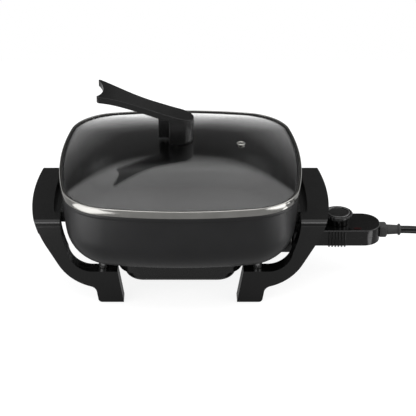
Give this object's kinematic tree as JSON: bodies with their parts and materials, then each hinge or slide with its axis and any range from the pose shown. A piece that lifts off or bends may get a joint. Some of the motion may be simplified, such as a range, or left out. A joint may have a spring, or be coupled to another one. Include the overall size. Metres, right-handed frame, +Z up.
{
  "type": "electric skillet",
  "caption": "Square electric skillet: deep coated pan on two arched side handles, loose glass lid with a lifting handle, and a plug-in temperature probe with dial and cord.",
  "frame": {"origin": "on the table under the middle of the appliance, probe included and cord left out", "axes": "+Z up from the feet, +X towards the probe and cord, -Y towards the user"},
  "size_m": [0.7433, 0.32, 0.2734],
  "materials": {
    "coated_pan": "die-cast aluminium under a black non-stick coating",
    "aluminium": "as-cast and pressed aluminium",
    "black_sheet": "satin black stoved enamel on pressed steel",
    "element_sheath": "heat-browned nickel steel sheath",
    "stainless": "polished stainless steel",
    "zinc_steel": "zinc-plated steel",
    "ceramic": "unglazed steatite",
    "phenolic": "moulded heat-proof black thermoset with a fine grain",
    "gloss_black": "smooth black polymer",
    "glass": "toughened clear glass",
    "silicone": "black silicone rubber",
    "brass": "turned and pressed brass, tinned where it makes contact",
    "lens_red": "translucent dark red lens",
    "cord_jacket": "smooth black cord jacket"
  },
  "bodies": {
    "base": {"pan": "coated_pan", "heat_plate": "aluminium", "heating_element": "element_sheath", "heater_cover": "black_sheet", "cover_screws": "zinc_steel", "terminal_block": "ceramic", "terminal_pins": "stainless", "sensor_well": "stainless", "socket_shroud": "black_sheet", "handle_spacers": "black_sheet", "handle_screws": "zinc_steel", "right_handle": "phenolic", "left_handle": "phenolic", "rubber_feet": "silicone", "right_bracket": "black_sheet", "left_bracket": "black_sheet", "right_bracket_screws": "zinc_steel", "left_bracket_screws": "zinc_steel"},
    "lid": {"lid_glass": "glass", "lid_rim": "stainless", "lid_gasket": "silicone", "vent_eyelet": "stainless", "lid_handle": "phenolic", "handle_seat": "silicone", "inner_washer": "stainless", "lid_screw": "stainless"},
    "probe": {"probe_lower_housing": "phenolic", "probe_upper_housing": "phenolic", "probe_nose": "phenolic", "probe_front_plate": "stainless", "sensor_rod": "stainless", "contact_sleeves": "brass", "thermostat_switch": "brass", "bimetal_blade": "brass", "indicator_lamp": "lens_red", "lamp_lens": "lens_red", "housing_screws": "zinc_steel", "cord_clamp": "phenolic", "strain_relief": "silicone", "cord": "cord_jacket", "cord_coil": "cord_jacket", "plug_body": "gloss_black", "plug_pins": "brass"},
    "dial": {"adjusting_spindle": "zinc_steel", "dial": "phenolic", "dial_cap": "gloss_black"}
  },
  "joints": [
    {"name": "lid_lift", "type": "slide", "parent": "base", "child": "lid", "axis": [0, 0, 1], "range_m": [0, 0.14]},
    {"name": "probe_pull", "type": "slide", "parent": "base", "child": "probe", "axis": [1, 0, 0], "range_m": [0, 0.11]},
    {"name": "dial_turn", "type": "hinge", "parent": "probe", "child": "dial", "pos_m": [0.1773, 0, 0.087], "axis": [0, 0, 1], "range_deg": [-285, 0]}
  ]
}
